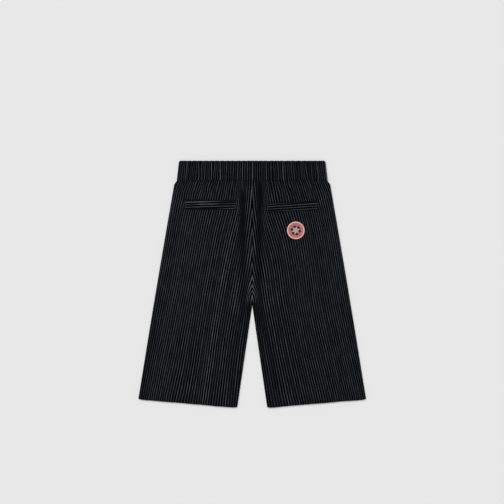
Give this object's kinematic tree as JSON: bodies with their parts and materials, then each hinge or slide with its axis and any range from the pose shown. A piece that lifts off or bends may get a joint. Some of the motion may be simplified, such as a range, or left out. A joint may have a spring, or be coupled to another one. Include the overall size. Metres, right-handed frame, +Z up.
{
  "type": "bermuda shorts",
  "caption": "Pinstriped bermuda shorts with an elastic waist, laid flat with the back up: gathered waistband, jetted back pockets and a round embroidered badge.",
  "frame": {"origin": "on the table under the middle of the shorts, at the bottom centre of their box", "axes": "+Z up from the table through the back of the shorts, +Y along the garment towards the waist, +X towards the wearer's right leg"},
  "size_m": [0.5688, 0.617, 0.0075],
  "materials": {
    "cloth": "matt near-black navy woven cloth with thin uneven light grey pinstripes down the leg",
    "waistband_cloth": "the same pinstriped cloth, gathered over elastic",
    "jet_cloth": "the same pinstriped cloth with its stripes running along the jet",
    "badge_thread": "satin embroidery thread, coral",
    "badge_border_thread": "satin embroidery thread, peach"
  },
  "bodies": {
    "root": {"back_left_leg": "cloth", "back_right_leg": "cloth", "front_left_leg": "cloth", "front_right_leg": "cloth", "waistband": "waistband_cloth", "pocket_left_upper_jet": "jet_cloth", "pocket_left_lower_jet": "jet_cloth", "pocket_right_upper_jet": "jet_cloth", "pocket_right_lower_jet": "jet_cloth", "badge_ground": "badge_thread", "badge_border": "badge_border_thread"}
  },
  "joints": []
}
